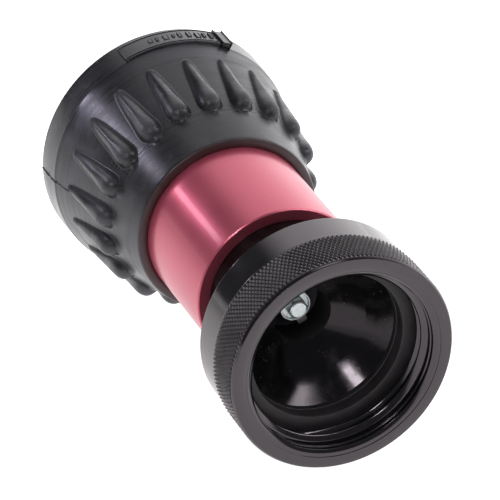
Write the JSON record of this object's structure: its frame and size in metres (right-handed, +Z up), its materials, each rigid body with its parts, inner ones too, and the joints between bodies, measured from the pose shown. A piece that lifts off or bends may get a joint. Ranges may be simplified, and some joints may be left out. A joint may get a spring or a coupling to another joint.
{
  "type": "fire hose nozzle",
  "caption": "Twist-adjust fog and straight-stream hose nozzle with a knurled swivel inlet coupling, a red barrel sleeve and a lugged rubber bumper.",
  "frame": {"origin": "centre of the coupling's inlet face, on the nozzle's axis", "axes": "+Y along the water's flow from the inlet to the outlet, +Z up through the raised pad on the bumper, +X to the right seen from the inlet"},
  "size_m": [0.0708, 0.129, 0.0723],
  "materials": {
    "anodised_black": "hard anodised, glossy",
    "anodised_red": "satin red anodised",
    "bumper_rubber": "satin moulded rubber",
    "gasket_rubber": "matte",
    "stainless": "turned",
    "zinc_steel": "bright zinc plate",
    "nylon": "moulded"
  },
  "bodies": {
    "body": {"body": "anodised_black", "spider": "anodised_black", "spider_retainer": "stainless", "stem_bolt": "zinc_steel", "bolt_washer": "zinc_steel", "stem": "stainless", "baffle_head": "anodised_black", "baffle_seal": "gasket_rubber", "baffle_screw": "stainless", "neck_orings": "gasket_rubber"},
    "coupling": {"coupling_ring": "anodised_black", "inlet_gasket": "gasket_rubber", "race_balls": "stainless", "race_plug": "stainless"},
    "guide": {"guide_ring": "nylon"},
    "barrel": {"barrel_sleeve": "anodised_red", "cam_pins": "stainless", "seat_ring": "anodised_black", "seat_oring": "gasket_rubber", "fog_teeth": "nylon", "teeth_retainer": "stainless", "bumper": "bumper_rubber"}
  },
  "joints": [
    {"name": "inlet_swivel", "type": "hinge", "parent": "body", "child": "coupling", "pos_m": [0, 0.02, 0], "axis": [0, 1, 0], "continuous": true},
    {"name": "barrel_travel", "type": "slide", "parent": "body", "child": "guide", "axis": [0, 1, 0], "range_m": [-0.0081, 0.0031]},
    {"name": "barrel_twist", "type": "hinge", "parent": "guide", "child": "barrel", "pos_m": [0, 0.08, 0], "axis": [0, 1, 0], "range_deg": [-96, 36]}
  ],
  "couplings": [
    {"joint": "barrel_travel", "follows": "barrel_twist", "m_per_rad": 0.0047746}
  ]
}
